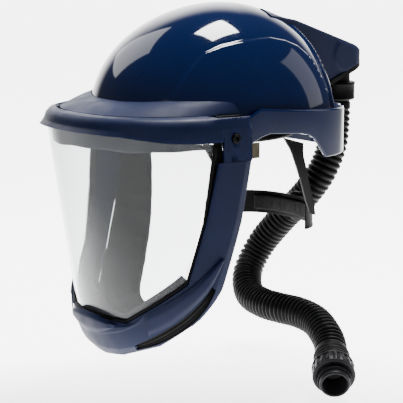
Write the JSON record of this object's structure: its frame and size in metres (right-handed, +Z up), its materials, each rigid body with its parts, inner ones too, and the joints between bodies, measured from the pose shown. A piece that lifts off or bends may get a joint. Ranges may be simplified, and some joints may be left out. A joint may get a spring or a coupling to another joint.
{
  "type": "powered air respirator headtop",
  "caption": "Respirator helmet with a lifting clear visor, rear air duct, head harness and corrugated breathing hose ending in a twist coupling.",
  "frame": {"origin": "the point between the wearer's temples at headband height, inside the helmet", "axes": "+X towards the wearer's left, -Y forwards through the visor, +Z up through the crown"},
  "size_m": [0.3107, 0.389, 0.4022],
  "materials": {
    "shell": "gloss",
    "moulding": "matte",
    "black_plastic": "satin",
    "coupling_plastic": "satin",
    "grey_plastic": "matte",
    "pane": "polished",
    "rubber": "matte",
    "grey_foam": "matte",
    "seal_fabric": "matte",
    "padding": "matte",
    "webbing": "matte",
    "webbing_tan": "matte",
    "steel": "satin"
  },
  "bodies": {
    "helmet": {"helmet_shell": "shell", "duct_cover": "moulding", "duct_base": "black_plastic", "brow_cover": "moulding", "brow_gasket": "rubber", "brow_strip_left": "rubber", "brow_strip_right": "rubber", "headband": "grey_plastic", "sweatband": "padding", "crown_strap_1": "webbing", "crown_strap_2": "webbing", "air_channel": "grey_plastic", "breathing_hose": "rubber", "hose_cuff": "rubber", "coupling_spigot": "coupling_plastic", "coupling_o_ring": "rubber", "strap_hanger_1": "grey_plastic", "strap_hanger_2": "grey_plastic", "strap_hanger_3": "grey_plastic", "strap_hanger_4": "grey_plastic", "pivot_block_left": "black_plastic", "pivot_washer_left": "steel", "pivot_screw_left": "steel", "nape_arm_left": "grey_plastic", "webbing_tab_left": "webbing_tan", "pivot_block_right": "black_plastic", "pivot_washer_right": "steel", "pivot_screw_right": "steel", "nape_arm_right": "grey_plastic", "webbing_tab_right": "webbing_tan"},
    "visor": {"visor_band": "moulding", "visor_frame": "moulding", "visor_pane": "pane", "visor_gasket": "rubber", "pane_top_seal": "grey_foam", "pane_bottom_seal": "grey_foam", "chin_clip": "moulding", "grip_tab": "moulding", "face_seal": "seal_fabric", "chin_bar_left": "moulding", "exhalation_grille_left": "black_plastic", "valve_seat_left": "black_plastic", "chin_bar_right": "moulding", "exhalation_grille_right": "black_plastic", "valve_seat_right": "black_plastic"},
    "valve_left": {"valve_disc_left": "rubber"},
    "valve_right": {"valve_disc_right": "rubber"},
    "nape": {"nape_cradle": "black_plastic", "nape_pad": "padding", "ratchet_housing": "black_plastic"},
    "knob": {"ratchet_knob": "black_plastic"},
    "collar": {"hose_collar": "black_plastic"},
    "coupling_nut": {"coupling_ring": "coupling_plastic"}
  },
  "joints": [
    {"name": "visor_lift", "type": "hinge", "parent": "helmet", "child": "visor", "pos_m": [0, -0.031, -0.005], "axis": [-1, 0, 0], "range_deg": [0, 60]},
    {"name": "valve_left_lift", "type": "slide", "parent": "visor", "child": "valve_left", "axis": [0.8098, -0.5178, -0.2757], "range_m": [0, 0.0015], "stiffness_N_per_m": 60, "springref_m": -0.0005},
    {"name": "valve_right_lift", "type": "slide", "parent": "visor", "child": "valve_right", "axis": [-0.8098, -0.5178, -0.2757], "range_m": [0, 0.0015], "stiffness_N_per_m": 60, "springref_m": -0.0005},
    {"name": "nape_adjust", "type": "slide", "parent": "helmet", "child": "nape", "axis": [0, -1, 0], "range_m": [0, 0.015]},
    {"name": "knob_turn", "type": "hinge", "parent": "nape", "child": "knob", "pos_m": [0, 0.142, -0.109], "axis": [0, -1, 0], "range_deg": [-0.5, 271]},
    {"name": "collar_turn", "type": "hinge", "parent": "helmet", "child": "collar", "pos_m": [0, 0.2, 0.02], "axis": [0, 0, 1], "continuous": true},
    {"name": "coupling_turn", "type": "hinge", "parent": "helmet", "child": "coupling_nut", "pos_m": [0.136, 0.086, -0.245], "axis": [0.77, -0.54, -0.34], "continuous": true}
  ],
  "couplings": [
    {"joint": "knob_turn", "follows": "nape_adjust", "rad_per_m": 314.16}
  ]
}
